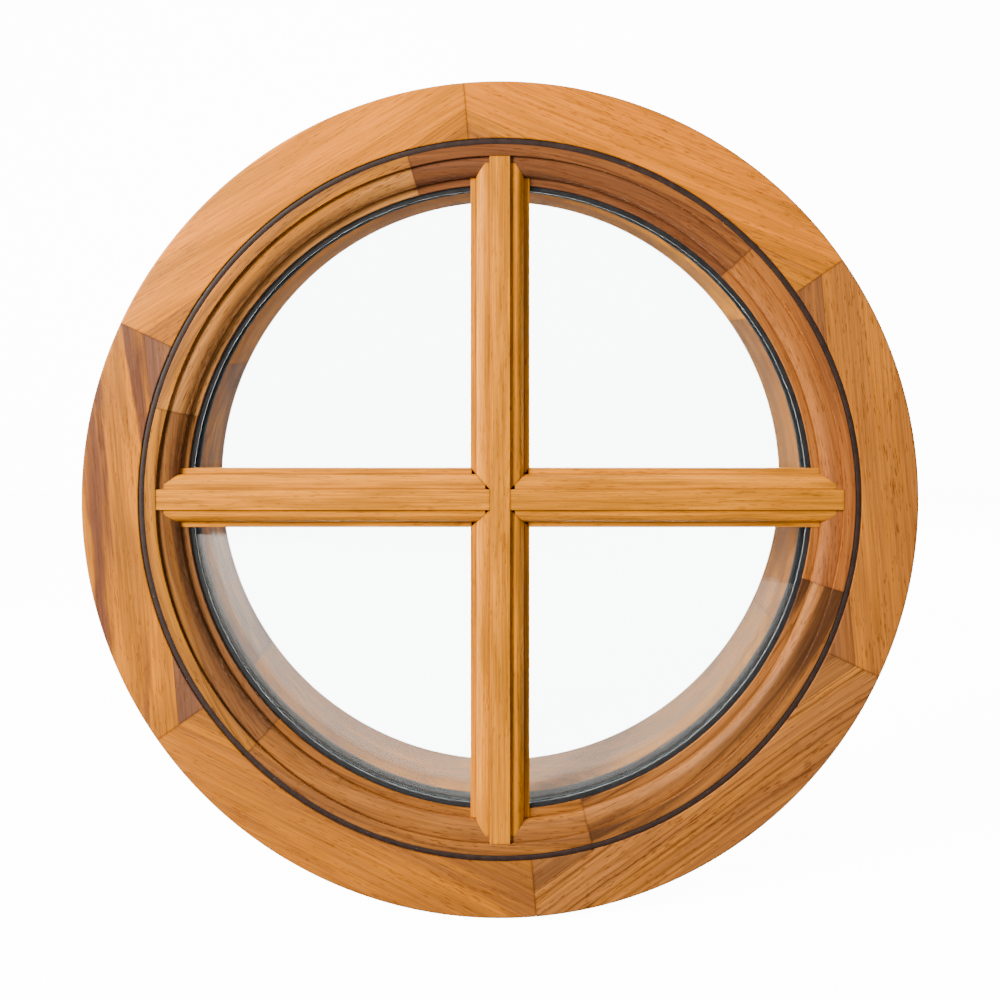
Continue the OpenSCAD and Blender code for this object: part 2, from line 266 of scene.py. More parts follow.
def joint_rows(start, arc, radius, step=1.0):
    """Angles from one joint to the next, closer beside the joints, and the grime of the joints
    there.
    """
    close = np.degrees(np.array([0.0, 0.3, 0.8, 1.8]) / radius)
    gap = math.degrees(HAIRLINE / 2 / radius)
    middle = np.linspace(close[-1], arc - close[-1], round(arc / step))[1:-1]
    turn = np.concatenate([close, middle, arc - close[::-1]])
    grime_and_shade = np.exp(-np.radians(np.minimum(turn, arc - turn)) * radius / 0.5)
    turn = gap + turn * (arc - 2 * gap) / arc
    return (start + turn)[:, None], grime_and_shade[:, None]


# ---- Materials ---------------------------------------------------------------------


def tone(code):
    """Linear colour from an sRGB hex value."""
    srgb = np.array([int(code[k : k + 2], 16) / 255 for k in (1, 3, 5)])
    linear = np.where(srgb <= 0.04045, srgb / 12.92, ((srgb + 0.055) / 1.055) ** 2.4)
    return (*linear, 1.0)


def finish(name):
    """A new material, its Principled shader, and a function that adds a node to it."""
    material = bpy.data.materials.new(name)
    material.use_nodes = True
    tree = material.node_tree
    shader = tree.nodes["Principled BSDF"]

    def put(kind, inputs=None, stops=None, **settings):
        """Adds a node with its settings, and sets or links its inputs."""
        made = tree.nodes.new("ShaderNode" + kind)
        for key, value in settings.items():
            setattr(made, key, value)
        if stops:
            ramp = made.color_ramp.elements
            while len(ramp) < len(stops):
                ramp.new(0.5)
            for element, (place, value) in zip(ramp, stops):
                element.position = place
                element.color = (value, value, value, 1.0)
        wire(made, inputs or {})
        return made

    def wire(made, inputs):
        for key, value in inputs.items():
            if isinstance(value, bpy.types.NodeSocket):
                tree.links.new(value, made.inputs[key])
            else:
                made.inputs[key].default_value = value

    return material, shader, put, wire


def wood(name, pale, deep, line, turn, ring=7.0, pith=(330.0, 30.0), sway=6.0, late=0.6,
         bands=0.0, band="#5A3A28", moulding_tone_and_shade=None, curl=0.0, patch=14.0, flecks=0.5, shift=0.0):
    """Oiled, hand-finished hardwood with its grain at `turn` degrees.

    The growth rings are distances to a pith line along the grain, `pith` giving its
    place across the grain and its depth, bent by slow noise of `sway` millimetres.
    `moulding_tone_and_shade` is the colour of the moulding cut under a paler face, set segment
    by segment:
    partly the wood's own tone and partly painted shade, darkest on the top and left
    segments where the moulding faces away from the light, and on the upper-left segment
    about as light as the face, which paints light into its shadow. `curl` is how far
    the grain follows the ring's curve: 0 for a straight board."""
    material, shader, put, wire = finish(name)
    place = put("TexCoord").outputs["Object"]
    board = put("Mapping", {"Vector": place, "Scale": (1 / MM,) * 3,
                            "Rotation": (0, math.radians(turn), 0)}).outputs[0]
    if curl:
        part = put("SeparateXYZ", {0: board})
        level = put("VectorMath", {0: board, 1: (1, 0, 1)}, operation="MULTIPLY").outputs[0]
        out = put("VectorMath", {0: level}, operation="LENGTH").outputs["Value"]
        swung = put("Math", {0: part.outputs["X"], 1: part.outputs["Z"]}, operation="ARCTAN2")
        run = put("Math", {0: swung.outputs[0], 1: LEDGE}, operation="MULTIPLY").outputs[0]
        curved = put("CombineXYZ", {0: run, 1: part.outputs["Y"], 2: out}).outputs[0]
        board = put("Mix", {0: curl, 4: board, 5: curved}, data_type="VECTOR").outputs[1]
    board = put("VectorMath", {0: board, 1: (shift, 0, 0)}, operation="ADD").outputs[0]

    def drawn_out(vector, long, wide, detail):
        """Noise with spots that long along the grain and that wide across it."""
        stretched = put("VectorMath", {0: vector, 1: (1 / long, 1 / wide, 1 / wide)},
                        operation="MULTIPLY").outputs[0]
        return put("TexNoise", {"Vector": stretched, "Scale": 1.0, "Detail": detail})

    # Slow bend of the rings, 350 mm long and 70 mm wide, with a faster one inside it
    slow = put("VectorMath", {0: drawn_out(board, 350, 70, 1).outputs["Color"], 1: (0.5,) * 3},
               operation="SUBTRACT").outputs[0]
    quick = put("VectorMath", {0: drawn_out(board, 60, 14, 2).outputs["Color"], 1: (0.5,) * 3},
                operation="SUBTRACT").outputs[0]
    bent = put("VectorMath", {0: slow, 1: (0, 4 * sway, 4 * sway), 2: board},
               operation="MULTIPLY_ADD").outputs[0]
    bent = put("VectorMath", {0: quick, 1: (0, 0.6 * sway, 0.6 * sway), 2: bent},
               operation="MULTIPLY_ADD").outputs[0]
    offset = (0, -pith[1] - FRONT, -pith[0])
    from_pith = put("VectorMath", {0: bent, 1: (0, 1, 1), 2: offset}, operation="MULTIPLY_ADD")
    reach = put("VectorMath", {0: from_pith.outputs[0]}, operation="LENGTH").outputs["Value"]
    years = put("Math", {0: reach, 1: ring}, operation="DIVIDE").outputs[0]
    uneven = put("TexNoise", {"W": years, "Scale": 0.45, "Detail": 2.0}, noise_dimensions="1D")
    years = put("Math", {0: uneven.outputs[0], 1: 2.2, 2: years},
                operation="MULTIPLY_ADD").outputs[0]
    season = put("Math", {0: years}, operation="FRACT").outputs[0]
    growth = put("ValToRGB", {0: season}, stops=[
        (0.0, 0.75), (0.10, 0.35), (0.30, 0.06), (0.62, 0.0), (0.86, 0.35), (1.0, 1.0)])
    year = put("Math", {0: years}, operation="FLOOR").outputs[0]
    chance = put("TexWhiteNoise", {"W": year}, noise_dimensions="1D").outputs["Value"]
    force = put("MapRange", {0: chance, 3: 0.15 * late, 4: late}).outputs[0]
    growth = put("Math", {0: growth.outputs[0], 1: force}, operation="MULTIPLY").outputs[0]

    # Cloudy change from pale to deep, about `patch` mm wide and twelve times as long
    cloud = drawn_out(bent, 12 * patch, patch, 3).outputs[0]
    cloud = put("MapRange", {0: cloud, 1: 0.34, 2: 0.66}, interpolation_type="SMOOTHSTEP")
    ground = put("Mix", {0: cloud.outputs[0], 6: tone(pale), 7: tone(deep)}, data_type="RGBA")
    # The moulding cut under the face takes its own colour, more so the deeper it lies: the
    # wood's tone with painted shade and light in it.
    if moulding_tone_and_shade:
        depth = put("SeparateXYZ", {0: bent}).outputs["Y"]
        under = put("MapRange", {0: depth, 1: FRONT + 0.5, 2: FRONT + 3.5, 3: 0.0, 4: 0.8})
        ground = put("Mix", {0: under.outputs[0], 6: ground.outputs[2], 7: tone(moulding_tone_and_shade)},
                     data_type="RGBA")
    grown = put("Mix", {0: growth, 6: ground.outputs[2], 7: tone(line)}, data_type="RGBA")

    # Dark mineral bands that follow the grain
    stripe = drawn_out(bent, 420, 19, 2).outputs[0]
    stripe = put("MapRange", {0: stripe, 1: 0.47, 2: 0.57, 3: 0.0, 4: bands},
                 interpolation_type="SMOOTHSTEP").outputs[0]
    banded = put("Mix", {0: stripe, 6: grown.outputs[2], 7: tone(band)}, data_type="RGBA")

    # Fibres, drawn 0.9 mm wide and 45 mm long so that they show
    fibre = drawn_out(board, 45, 0.9, 4).outputs[0]
    shade = put("MapRange", {0: fibre, 1: 0.25, 2: 0.75, 3: 0.66, 4: 1.30}).outputs[0]
    streaked = put("VectorMath", {0: banded.outputs[2], "Scale": shade}, operation="SCALE")

    # Open pores, drawn as dashes 0.8 mm wide and 8 mm long, thicker in some places
    crowd = drawn_out(board, 90, 12, 2).outputs[0]
    pore = put("Math", {0: crowd, 1: 0.34, 2: drawn_out(board, 8, 0.8, 1).outputs[0]},
               operation="MULTIPLY_ADD").outputs[0]
    pore = put("MapRange", {0: pore, 1: 0.80, 2: 0.88, 3: 0.0, 4: flecks},
               interpolation_type="SMOOTHSTEP").outputs[0]
    pored = put("Mix", {0: pore, 6: streaked.outputs[0], 7: tone("#4A2408")}, data_type="RGBA")

    # Darker colour from the darkening attribute: grime and finish in the joints, and painted
    # shade in the quirks, inner corners and screw holes
    grime_and_shade = put("Attribute", attribute_name="grime_and_shade").outputs["Fac"]
    grimed_and_shaded = put("Math", {0: grime_and_shade, 1: 0.62}, operation="MULTIPLY").outputs[0]
    grimed_and_shaded = put("Mix", {0: grimed_and_shaded, 6: pored.outputs[2], 7: tone("#2E1405")}, data_type="RGBA")
    height = put("Math", {0: pore, 1: -1.4, 2: fibre}, operation="MULTIPLY_ADD").outputs[0]
    bump = put("Bump", {"Height": height, "Strength": 0.35, "Distance": 0.25 * MM})
    gloss = put("MapRange", {0: fibre, 1: 0.2, 2: 0.8, 3: 0.35, 4: 0.52})
    wire(shader, {"Base Color": grimed_and_shaded.outputs[2], "Roughness": gloss.outputs[0],
                  "Normal": bump.outputs[0], "Specular IOR Level": 0.08})
    return material


def sealant(name, colour, light, rough):
    """Gunned and tooled sealant: matt, with a faint mottle and tool drag marks."""
    material, shader, put, wire = finish(name)
    place = put("TexCoord").outputs["Object"]
    mottle = put("TexNoise", {"Vector": place, "Scale": 160.0, "Detail": 4.0}).outputs[0]
    grain = put("TexNoise", {"Vector": place, "Scale": 1400.0, "Detail": 2.0}).outputs[0]
    mottle = put("MapRange", {0: mottle, 1: 0.3, 2: 0.7}).outputs[0]
    colour = put("Mix", {0: mottle, 6: tone(colour), 7: tone(light)}, data_type="RGBA")
    bump = put("Bump", {"Height": grain, "Strength": 0.4, "Distance": 0.1 * MM})
    gloss = put("MapRange", {0: mottle, 3: rough - 0.08, 4: rough + 0.08})
    wire(shader, {"Base Color": colour.outputs[2], "Roughness": gloss.outputs[0],
                  "Normal": bump.outputs[0], "Specular IOR Level": 0.2})
    return material


def drawn_metal(name, colour, rough):
    """Drawn metal, plated or anodised: fine lines along it, and a slightly uneven sheen."""
    material, shader, put, wire = finish(name)
    place = put("TexCoord").outputs["Object"]
    stretched = put("VectorMath", {0: place, 1: (90.0, 2500.0, 90.0)}, operation="MULTIPLY")
    lines = put("TexNoise", {"Vector": stretched.outputs[0], "Scale": 1.0,
                             "Detail": 3.0}).outputs[0]
    cloud = put("TexNoise", {"Vector": place, "Scale": 45.0, "Detail": 3.0}).outputs[0]
    cloud = put("MapRange", {0: cloud, 1: 0.3, 2: 0.7, 3: 0.85, 4: 1.1}).outputs[0]
    colour = put("VectorMath", {0: tone(colour)[:3], "Scale": cloud}, operation="SCALE")
    gloss = put("MapRange", {0: lines, 1: 0.3, 2: 0.7, 3: rough - 0.08, 4: rough + 0.12})
    bump = put("Bump", {"Height": lines, "Strength": 0.12, "Distance": 0.02 * MM})
    wire(shader, {"Base Color": colour.outputs[0], "Metallic": 1.0,
                  "Roughness": gloss.outputs[0], "Normal": bump.outputs[0]})
    return material


def float_glass():
    """Clear float glass: smooth, faintly green-blue, and lamp rays pass straight through."""
    material, shader, put, wire = finish("float_glass_clear")
    place = put("TexCoord").outputs["Object"]
    haze = put("TexNoise", {"Vector": place, "Scale": 9.0, "Detail": 2.0}).outputs[0]
    tint = put("Mix", {0: haze, 6: tone("#F6FBFC"), 7: tone("#FAFDFD")}, data_type="RGBA")
    wire(shader, {"Base Color": tint.outputs[2], "Roughness": 0.0, "IOR": 1.5,
                  "Transmission Weight": 1.0})
    lamp_ray = put("LightPath").outputs["Is Shadow Ray"]
    clear = put("BsdfTransparent", {"Color": tone("#F8FCFC")})
    both = put("MixShader", {0: lamp_ray, 1: shader.outputs[0], 2: clear.outputs[0]})
    wire(material.node_tree.nodes["Material Output"], {"Surface": both.outputs[0]})
    return material


def grained(name, colour, other, size, rough):
    """Moulded or fired stuff with a fine grain of the given size in millimetres."""
    material, shader, put, wire = finish(name)
    place = put("TexCoord").outputs["Object"]
    cells = put("TexVoronoi", {"Vector": place, "Scale": 1 / (size * MM)}).outputs["Distance"]
    colour = put("Mix", {0: cells, 6: tone(colour), 7: tone(other)}, data_type="RGBA")
    bump = put("Bump", {"Height": cells, "Strength": 0.4, "Distance": 0.2 * size * MM})
    wire(shader, {"Base Color": colour.outputs[2], "Roughness": rough,
                  "Normal": bump.outputs[0]})
    return material


# How each piece's wood looks. Frame and ring segments are listed anticlockwise from the
# upper right; `turn` is how far the grain leans from the segment's chord.
OUTER_WOOD = [
    dict(pale="#BE6B07", deep="#A45F08", line="#7A420C", ring=9, pith=(300, 95), late=0.45,
         turn=3, sway=5, flecks=0.5),
    dict(pale="#C67206", deep="#AA6406", line="#80480C", ring=12, pith=(296, 120), late=0.5,
         turn=-4, sway=5, flecks=0.35),
    dict(pale="#B0680A", deep="#885318", line="#5A3620", ring=13, pith=(330, 70), late=0.5,
         turn=0, sway=13, bands=0.9, band="#4C2E24", flecks=0.45),
    dict(pale="#A66214", deep="#8C541C", line="#5C3620", ring=10, pith=(290, 110), late=0.5,
         turn=-2, sway=8, bands=0.45, band="#5E3A28", flecks=0.5),
    dict(pale="#AC6C26", deep="#905A2A", line="#2E1608", ring=5.4, pith=(400, 20), late=1.4,
         turn=0, sway=6, bands=0.2, band="#5A3418", flecks=0.7),
    dict(pale="#A6641C", deep="#925820", line="#64381A", ring=5.5, pith=(420, 10), late=0.5,
         turn=0, sway=3, flecks=0.6),
]
INNER_WOOD = [
    dict(pale="#BA6C08", deep="#A06010", line="#6A3E14", ring=7, bands=0.5, band="#6A4028"),
    dict(pale="#A66008", deep="#865014", line="#5E3814", ring=9, bands=0.3, band="#5E3C24"),
    dict(pale="#94602E", deep="#70482C", line="#462C1C", ring=8, bands=0.6, band="#54382E"),
    dict(pale="#A0600E", deep="#86521E", line="#5A3618", ring=7, bands=0.3, band="#5E3C24"),
    dict(pale="#885628", deep="#6E4624", line="#442A18", ring=6, bands=0.2, band="#4A3020"),
    dict(pale="#845024", deep="#704426", line="#442818", ring=6, bands=0.4, band="#503726"),
]
# Each segment's moulding colour has painted shade in it, darkest on the top and left segments,
# and painted light on the upper-left one, where it is kept about as light as the face.
RING_WOOD = [
    dict(pale="#7C4A20", deep="#683E20", line="#3A2214", moulding_tone_and_shade="#5E3820", ring=4.5, late=0.8,
         bands=0.3),
    dict(pale="#A46416", deep="#84541E", line="#46301C", moulding_tone_and_shade="#A06C36", ring=6, late=0.7,
         bands=0.3),
    dict(pale="#A86A10", deep="#8C581A", line="#3A2212", moulding_tone_and_shade="#5E3C20", ring=5, late=0.9,
         bands=0.4),
    dict(pale="#965C1E", deep="#7A4C20", line="#3C2210", moulding_tone_and_shade="#8A541C", ring=6, late=0.9,
         bands=0.3),
    dict(pale="#8E5826", deep="#64401F", line="#2A170C", moulding_tone_and_shade="#865426", ring=6, late=1.0,
         bands=0.9, band="#3E2616", patch=11),
    dict(pale="#8C5020", deep="#784622", line="#482814", moulding_tone_and_shade="#8C5422", ring=6, late=0.6,
         bands=0.2),
]
BAR_WOOD = dict(pale="#C07608", deep="#A2640A", line="#7A460E", ring=3.4, late=0.6, sway=2,
                flecks=0.4, patch=7)


# ---- Frame -------------------------------------------------------------------------


def glue_radius(turn, middle):
    """Distance from the axis to a segment's straight glue line."""
    return GLUE_LINE / np.cos(np.radians(turn - middle))


def outer_board(i):
    """Board between the glue line and the rim. Its section, carried round the axis,
    starts at the rebate in front of the rebate's floor and at the glue line behind it."""
    start = FRAME_JOINT + SIXTH * i
    turn, grime_and_shade = joint_rows(start, SIXTH, RIM)
    glue = glue_radius(turn[:, 0], start + SIXTH / 2) + HAIRLINE / 2
    face = np.maximum(glue, REBATE)
    arris = np.where(glue > REBATE, 0.08, ARRIS / 2)[:, None]
    section, corner_grime_and_shade = outline([
        (glue, REBATE_FLOOR, 0, 0), (face, REBATE_FLOOR, 0, 0), (face, 0.0, arris, 0.25),
        (RIM, 0.0, 2.2, 0), (RIM, DEPTH, 2.2, 0), (glue, DEPTH, 0.3, 0.4)])
    body = shell(around(turn, section[..., 0], section[..., 1]), np.maximum(grime_and_shade, corner_grime_and_shade))
    look = dict(OUTER_WOOD[i])
    look["turn"] += start + SIXTH / 2 - 90
    grain = wood(f"oiled_teak_outer_{i + 1}", shift=700.0 * i, **look)
    made = piece(f"outer_board_{i + 1}", [body], [f"frame_outer_board_{i + 1}"], grain)
    drill(made, [start + SIXTH / 2 + side * SCREW_TURN for side in (-1, 1)])
    return made


def inner_board(i):
    """Board inside the glue line: the stop behind the glass, and in front of it the two
    triangles that it shows at the joints, where the glue line lies outside the rebate."""
    start = FRAME_JOINT + SIXTH * i
    middle = start + SIXTH / 2
    turn, grime_and_shade = joint_rows(start, SIXTH, STOP)
    glue = glue_radius(turn[:, 0], middle) - HAIRLINE / 2
    section, corner_grime_and_shade = outline([
        (STOP, REBATE_FLOOR, ARRIS / 2, 0), (glue, REBATE_FLOOR, 0, 0),
        (glue, DEPTH, 0.3, 0.4), (STOP, DEPTH, ARRIS, 0)])
    shells = [shell(around(turn, section[..., 0], section[..., 1]), np.maximum(grime_and_shade, corner_grime_and_shade))]
    reach = math.degrees(math.acos(GLUE_LINE / (REBATE + 0.2)))
    for first in (start, middle + reach):
        turn, grime_and_shade = joint_rows(first, SIXTH / 2 - reach, REBATE)
        grime_and_shade = grime_and_shade * (np.abs(turn - middle) > (SIXTH / 2 + reach) / 2)
        glue = glue_radius(turn[:, 0], middle) - HAIRLINE / 2
        section, corner_grime_and_shade = outline([
            (REBATE, REBATE_FLOOR - 0.02, 0, 0), (REBATE, 0.0, ARRIS / 2, 0.25),
            (glue, 0.0, 0.1, 0.35), (glue, REBATE_FLOOR - 0.02, 0, 0)])
        shells.append(shell(around(turn, section[..., 0], section[..., 1]),
                            np.maximum(grime_and_shade, corner_grime_and_shade)))
    look = dict(dict(late=0.6, sway=5, flecks=0.5, pith=(180, 40)), **INNER_WOOD[i])
    grain = wood(f"oiled_teak_inner_{i + 1}", turn=middle - 90, shift=700.0 * i + 310, **look)
    return piece(f"inner_board_{i + 1}", shells, [f"frame_inner_board_{i + 1}"], grain)


PHI = np.radians(np.arange(0, 360, 7.5))


def about_line(turn, along, radius):
    """Surface round a line that leaves the axis at an angle: each row is a loop of
    points, a distance `along` the line and a `radius` away from it."""
    along, radius, phi = np.broadcast_arrays(along, radius, PHI)
    t = math.radians(turn)
    side = radius * np.cos(phi)
    return np.stack([along * math.cos(t) - side * math.sin(t),
                     FRONT + SCREW_DEPTH + radius * np.sin(phi),
                     along * math.sin(t) + side * math.cos(t)], -1)


def drill(board, turns):
    """Cuts the countersunk screw holes out of a board."""
    along = np.array([REBATE - 30, SCREW_TOP - HEAD_H, SCREW_TOP, RIM + 5])[:, None]
    radius = np.array([SHANK_R, SHANK_R, HEAD_R, HEAD_R])[:, None] + HOLE_FIT
    # The cutter carries a darkening of 0.6 onto the hole walls: painted shade in the holes
    # round the screw heads.
    cutter = piece("drill", [shell(about_line(t, along, radius), 0.6) for t in turns], [],
                   board.data.materials[0])
    cut = board.modifiers.new("screw holes", "BOOLEAN")
    cut.operation = "DIFFERENCE"
    cut.solver = "EXACT"
    cut.object = cutter
    shaped = bpy.data.meshes.new_from_object(
        board.evaluated_get(bpy.context.evaluated_depsgraph_get()))
    board.modifiers.remove(cut)
    board.data = shaped
    board.data.set_sharp_from_angle(angle=math.radians(35))
    bpy.data.objects.remove(cutter)


def rim_screws():
    """Countersunk wood screws: a thread whose radius rises and falls along a helix, and a
    head with a cross recess, sunk wherever a point lies near one of two crossed lines."""
    thread = np.arange(SCREW_TIP, SCREW_TOP - HEAD_H - 0.2, 0.45)[:, None]
    helix = (thread / THREAD_PITCH - PHI / (2 * math.pi)) % 1
    ridge = np.clip(1 - np.abs(helix - 0.5) * 5, 0, 1) * (thread < THREAD_END)
    shank = (CORE_R + THREAD_H * ridge) * np.clip((thread - SCREW_TIP) / 5, 0.02, 1)
    cone = np.array([[0, 1.9], [1, 2.8], [2, 3.75], [2.7, HEAD_R], [HEAD_H, HEAD_R - 0.1]])
    disc = np.linspace(HEAD_R - 0.3, 0.0, 14)[:, None]
    near = np.abs(disc * np.cos(PHI)), np.abs(disc * np.sin(PHI))
    recess = np.clip((0.75 - np.minimum(*near)) / 0.3, 0, 1)
    recess = RECESS_D * recess * np.clip((2.7 - np.maximum(*near)) / 0.5, 0, 1)
    whole = np.ones_like(PHI)
    along = np.concatenate([thread * whole, (SCREW_TOP - HEAD_H + cone[:, :1]) * whole,
                            SCREW_TOP - recess])
    radius = np.concatenate([shank, cone[:, 1:] * whole, disc * whole])
    turns = [FRAME_JOINT + SIXTH * (i + 0.5) + side * SCREW_TURN
             for i in range(SEGMENTS) for side in (-1, 1)]
    shells = [shell(about_line(t, along, radius)) for t in turns]
    return piece("rim_screws", shells, ["ring_screws"],
                 drawn_metal("zinc_plated_steel_screws", "#C9C4B4", 0.32))


# ---- Glazing ring ------------------------------------------------------------------


def ring_segment(i):
    """Sixth of the moulded ring: an outline of leg, flat, ledge, ovolo and fillet,
    carried round the axis from joint to joint."""
    start = RING_JOINT + SIXTH * i
    turn, grime_and_shade = joint_rows(start, SIXTH, RING)
    # The quirk at the foot of the flat and the one at the foot of the ovolo are darkened:
    # painted shade. The ring's outer arris is darkened a little too.
    section, corner_grime_and_shade = outline(
        [(LEG, COVER, 0, 0), (LEG, REBATE_FLOOR, 0, 0), (RING, REBATE_FLOOR, 0, 0),
         (RING, 0.0, 0.7, 0.2), (LEG, 0.0, 0.5, 0), (LEG, LEDGE_DROP, 0.1, 0.7)]
        + [(LEDGE, LEDGE_DROP, 0, 0)]
        + ovolo(LEDGE, ROUND_FOOT, RING_ROUND_W, -1)
        + [(ROUND, FILLET, 0.1, 0.7), (SIGHT, FILLET, 0.6, 0), (SIGHT, COVER, 0.3, 0)])
    body = shell(around(turn, section[:, 0], section[:, 1]), np.maximum(grime_and_shade, corner_grime_and_shade))
    look = dict(dict(sway=5, flecks=0.7, pith=(200, 60), patch=9, curl=0.75), **RING_WOOD[i])
    grain = wood(f"oiled_teak_ring_{i + 1}", turn=start + SIXTH / 2 - 90,
                 shift=500.0 * i + 140, **look)
    return piece(f"glazing_ring_{i + 1}", [body], [f"ring_segment_{i + 1}"], grain)


def lathe(section):
    """Closed ring: a section of [radius, depth] carried once round the axis."""
    turn = np.arange(STEPS_ROUND)[:, None] * 360.0 / STEPS_ROUND
    return shell(around(turn, section[..., 0], section[..., 1]), closed=True)


def waves(seed, count=40):
    """Uneven line round the window, from -1 to 1: a sum of sines of whole numbers of
    waves, weaker as they get shorter, with phases from a seeded draw."""
    draw = np.random.default_rng(seed)
    turn = np.radians(np.arange(STEPS_ROUND) * 360.0 / STEPS_ROUND)[:, None]
    number = np.arange(3, 3 + count)
    phase = draw.uniform(0, 2 * math.pi, count)
    size = draw.normal(0, 1, count) / number**0.7
    line = (size * np.sin(number * turn + phase)).sum(1)
    return (line / np.abs(line).max())[:, None]


def perimeter_bedding():
    """Bead between frame and ring: a hand-tooled crown with slightly uneven edges."""
    clear = 0.15
    inner, outer = RING + clear, REBATE - clear
    foot = REBATE_FLOOR - clear
    t = np.linspace(-1, 1, 11)
    radius = (inner + outer) / 2 + t * ((outer - inner) / 2)
    radius = radius + 0.12 * np.sign(t) * (np.abs(t) > 0.5) * waves(5) + 0.075 * waves(3)
    depth = 0.45 + 0.55 * t**2 + 0.12 * (waves(7) + 1) * (1 - t**2)
    sides = np.broadcast_to([outer, inner], (STEPS_ROUND, 2))
    radius = np.concatenate([np.clip(radius, inner, outer), sides], 1)
    depth = np.concatenate([depth, np.full((STEPS_ROUND, 2), foot)], 1)
    body = lathe(np.stack([radius, depth], -1))
    return piece("perimeter_bead", [body], ["perimeter_bedding"],
                 sealant("tooled_brown_sealant", "#180E0B", "#281A16", 0.6))


# ---- Glazing bars ------------------------------------------------------------------


def bar_section():
    """Closed section of a bar, from the top's right corner down, under, and up again on
    the left as its mirror image: [distance from the middle line, depth]."""
    # The quirk beside the flat and the one at the ovolo's foot are darkened: painted shade.
    half, corner_grime_and_shade = outline(
        [(0.5, 0.0, 0, 0), (BAR_FLAT, 0.0, 0.45, 0), (BAR_FLAT, 2.4, 0, 0.0),
         (BAR_FLAT, LEDGE_DROP, 0, 0.8), (BAR_LEDGE, LEDGE_DROP, 0, 0)]
        + ovolo(BAR_LEDGE, ROUND_FOOT, BAR_ROUND - BAR_LEDGE, 1)
        + [(BAR_ROUND, BAR_FILLET, 0, 0.6), (BAR_SIDE, BAR_FILLET, 0.7, 0),
           (BAR_SIDE, FILLET - COPE_GAP, 0, 0), (BAR_SIDE, FILLET + 0.2, 0, 0),
           (BAR_SIDE, BAR_FOOT, 0, 0), (0.5, BAR_FOOT, 0, 0)])
    mirror = half[::-1] * [-1, 1]
    return np.concatenate([half, mirror]), np.concatenate([corner_grime_and_shade, corner_grime_and_shade[::-1]])


def coped_end(section):
    """How far a bar's end reaches at each point of its section: to the ring's surface at
    that depth, along a line that runs beside the bar's middle line."""
    across, depth = section[:, 0], section[:, 1]
    fall = np.clip((depth - LEDGE_DROP) / ROUND_DROP, 0, 1)
    radius = LEDGE - RING_ROUND_W * np.sqrt(np.clip(1 - (1 - fall) ** 2, 0, 1))
    radius = np.where(depth < LEDGE_DROP - 0.15, LEG, radius)
    radius = np.where(depth > FILLET, SIGHT - REAR_LIP, radius)
    return np.sqrt((radius - COPE_GAP) ** 2 - across**2)


def placed_bar(across, along, depth, turn):
    """Points of a bar that points in the direction of an angle from the right."""
    t = math.radians(turn)
    return np.stack([along * math.cos(t) - across * math.sin(t), FRONT + depth,
                     along * math.sin(t) + across * math.cos(t)], -1)


def upright_bar():
    """The whole bar. Rows lie at the crossing's own widths, so that the notches for the
    side bars' mitres are exact; past them each row is shared out up to the coped ends."""
    section, corner_grime_and_shade = bar_section()
    across, depth = section[:, 0], section[:, 1]
    end = coped_end(section)
    notch = np.unique(np.round(np.abs(across[np.abs(across) >= BAR_FLAT - 0.01]), 4))
    near = np.unique(np.concatenate([[0.0], notch, notch + 0.4, BAR_SIDE + np.array([1.5, 4])]))
    shared_from = 215.0
    core = np.concatenate([near, np.linspace(BAR_SIDE + 8, shared_from, 60)])
    core = np.concatenate([-core[:0:-1], core])
    share = np.array([0.25, 0.5, 0.7, 0.85, 0.93, 0.97, 0.99, 1.0])[:, None]
    tip = shared_from + share * (end - shared_from)
    along = np.concatenate([-tip[::-1], core[:, None] + 0 * across, tip])
    room = np.maximum(np.abs(along) - HAIRLINE, BAR_FLAT)
    clipped = np.sign(across) * np.minimum(np.abs(across), room)
    mitre = np.exp(-np.abs(np.abs(along) - np.abs(across)) / 0.5) * (np.abs(across) > BAR_FLAT)
    last = np.exp(-(end - np.abs(along)) / 0.5) * (np.abs(along) > 200)
    grime_and_shade = np.maximum.reduce([0.8 * mitre, 0.7 * last, corner_grime_and_shade + 0 * along])
    butt = (np.abs(along) < BAR_FLAT) & (np.abs(across) >= BAR_FLAT - 0.3)
    grime_and_shade = np.where(butt, 0.8, grime_and_shade)
    body = shell(placed_bar(clipped, along, depth + 0 * along, 90), grime_and_shade, ladder=True)
    grain = wood("oiled_teak_bar_upright", turn=90, pith=(60, 50), shift=90, **BAR_WOOD)
    return piece("upright_bar", [body], ["bar_vertical"], grain)


def side_bar(name, node, turn, shift):
    """Bar from the crossing to the ring: its flat butts against the upright's flat, its
    mouldings start on the mitre lines, and its end is coped."""
    section, corner_grime_and_shade = bar_section()
    across, depth = section[:, 0], section[:, 1]
    start, end = np.maximum(np.abs(across), BAR_FLAT) + HAIRLINE, coped_end(section)
    near = np.array([0.0, 0.0015, 0.004, 0.009])
    share = np.concatenate([near, np.linspace(0.015, 0.985, 70), 1 - near[::-1]])[:, None]
    along = start + share * (end - start)
    gap = np.minimum(along - start, end - along)
    grime_and_shade = np.maximum(0.8 * np.exp(-gap / 0.5), corner_grime_and_shade)
    body = shell(placed_bar(across + 0 * along, along, depth + 0 * along, turn), grime_and_shade,
                 ladder=True)
    grain = wood(f"oiled_teak_bar_{name}", turn=0, pith=(55, 46), shift=shift, **BAR_WOOD)
    return piece(f"{name}_bar", [body], [node], grain)


# ---- Glass unit --------------------------------------------------------------------


